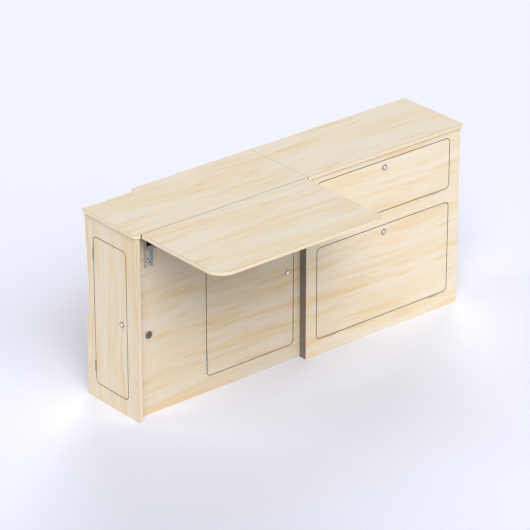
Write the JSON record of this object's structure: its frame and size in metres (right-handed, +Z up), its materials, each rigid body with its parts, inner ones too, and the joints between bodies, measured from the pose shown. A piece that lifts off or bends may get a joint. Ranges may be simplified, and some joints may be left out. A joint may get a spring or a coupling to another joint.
{
  "type": "van side cabinet",
  "caption": "Van side cabinet with worktop, end locker, recessed locker under a folding worktop leaf, and two drop-down flaps with cam locks.",
  "frame": {"origin": "on the floor, at the centre of the four floor bolt holes, which is the middle of the body's length and near the middle of its depth", "axes": "+X along the cabinet from its left end to its right, +Y from the front to the van's wall, +Z up"},
  "size_m": [1.82, 0.8865, 0.87],
  "materials": {
    "veneer_board": "satin pale wood-grain laminate",
    "veneer_top": "satin pale wood-grain laminate, grain along the length",
    "carcase_board": "plain matt board",
    "bracket_steel": "zinc-plated, satin",
    "hinge_metal": "nickel-plated, satin",
    "lock_chrome": "polished chrome",
    "case_plastic": "moulded black plastic",
    "black_plastic": "moulded black plastic"
  },
  "bodies": {
    "cabinet": {"end_panel_left": "veneer_board", "end_panel_right": "veneer_board", "inner_side_panel": "veneer_board", "partition_left": "carcase_board", "recess_panel": "veneer_board", "front_panel_right": "veneer_board", "base_left": "carcase_board", "base_right": "carcase_board", "mid_shelf_right": "carcase_board", "worktop_left": "veneer_top", "worktop_right": "veneer_top", "back_rail_upper_end": "carcase_board", "back_rail_lower_end": "carcase_board", "back_rail_upper_left": "carcase_board", "back_rail_lower_left": "carcase_board", "back_rail_upper_right": "carcase_board", "back_rail_lower_right": "carcase_board", "bracket_leg_left": "bracket_steel", "bracket_leg_right": "bracket_steel", "bracket_block_left": "black_plastic", "bracket_block_right": "black_plastic", "bracket_screws": "black_plastic", "cable_port_ring": "black_plastic", "cable_port_cap": "black_plastic", "end_door_frame_hinges": "hinge_metal", "recess_door_frame_hinges": "hinge_metal", "upper_flap_frame_hinges": "hinge_metal", "lower_flap_frame_hinges": "hinge_metal", "end_door_striker": "case_plastic", "recess_door_striker": "case_plastic", "upper_flap_striker": "case_plastic", "lower_flap_striker": "case_plastic"},
    "end_door": {"end_door_panel": "veneer_board", "end_door_hinges": "hinge_metal", "end_door_lock_body": "lock_chrome"},
    "end_door_lock": {"end_door_lock_plug": "lock_chrome", "end_door_lock_cam": "bracket_steel"},
    "recess_door": {"recess_door_panel": "veneer_board", "recess_door_hinges": "hinge_metal", "recess_door_lock_body": "lock_chrome"},
    "recess_door_lock": {"recess_door_lock_plug": "lock_chrome", "recess_door_lock_cam": "bracket_steel"},
    "upper_flap": {"upper_flap_panel": "veneer_board", "upper_flap_hinges": "hinge_metal", "upper_flap_lock_body": "lock_chrome"},
    "upper_flap_lock": {"upper_flap_lock_plug": "lock_chrome", "upper_flap_lock_cam": "bracket_steel"},
    "lower_flap": {"lower_flap_panel": "veneer_board", "lower_flap_hinges": "hinge_metal", "lower_flap_lock_body": "lock_chrome"},
    "lower_flap_lock": {"lower_flap_lock_plug": "lock_chrome", "lower_flap_lock_cam": "bracket_steel"},
    "leaf": {"table_leaf": "veneer_top", "bracket_arm_left": "bracket_steel", "bracket_arm_right": "bracket_steel"},
    "brace_left": {"bracket_brace_left": "bracket_steel"},
    "brace_right": {"bracket_brace_right": "bracket_steel"}
  },
  "joints": [
    {"name": "end_door_hinge", "type": "hinge", "parent": "cabinet", "child": "end_door", "pos_m": [-0.90275, 0.1045, 0.42], "axis": [0, 0, -1], "range_deg": [0, 110]},
    {"name": "end_door_lock_turn", "type": "hinge", "parent": "end_door", "child": "end_door_lock", "pos_m": [-0.9, -0.0825, 0.42025], "axis": [1, 0, 0], "range_deg": [0, 90]},
    {"name": "recess_door_hinge", "type": "hinge", "parent": "cabinet", "child": "recess_door", "pos_m": [-0.505, -0.15175, 0.375], "axis": [0, 0, -1], "range_deg": [0, 110]},
    {"name": "recess_door_lock_turn", "type": "hinge", "parent": "recess_door", "child": "recess_door_lock", "pos_m": [-0.0595, -0.149, 0.426], "axis": [0, 1, 0], "range_deg": [0, 90]},
    {"name": "upper_flap_hinge", "type": "hinge", "parent": "cabinet", "child": "upper_flap", "pos_m": [0.455, -0.19175, 0.5805], "axis": [1, 0, 0], "range_deg": [0, 90]},
    {"name": "upper_flap_lock_turn", "type": "hinge", "parent": "upper_flap", "child": "upper_flap_lock", "pos_m": [0.455, -0.189, 0.787], "axis": [0, 1, 0], "range_deg": [0, 90]},
    {"name": "lower_flap_hinge", "type": "hinge", "parent": "cabinet", "child": "lower_flap", "pos_m": [0.455, -0.19175, 0.0765], "axis": [1, 0, 0], "range_deg": [0, 90]},
    {"name": "lower_flap_lock_turn", "type": "hinge", "parent": "lower_flap", "child": "lower_flap_lock", "pos_m": [0.455, -0.189, 0.48], "axis": [0, 1, 0], "range_deg": [0, 90]},
    {"name": "leaf_fold", "type": "hinge", "parent": "cabinet", "child": "leaf", "pos_m": [-0.441, -0.159, 0.84], "axis": [-1, 0, 0], "range_deg": [-90, 0]},
    {"name": "brace_left_swing", "type": "hinge", "parent": "cabinet", "child": "brace_left", "pos_m": [-0.813, -0.159, 0.775], "axis": [-1, 0, 0], "range_deg": [-117.4, 0]},
    {"name": "brace_right_swing", "type": "hinge", "parent": "cabinet", "child": "brace_right", "pos_m": [-0.069, -0.159, 0.775], "axis": [-1, 0, 0], "range_deg": [-117.4, 0]}
  ],
  "couplings": [
    {"joint": "brace_left_swing", "follows": "leaf_fold", "ratio": 1.3022},
    {"joint": "brace_right_swing", "follows": "leaf_fold", "ratio": 1.3022}
  ]
}
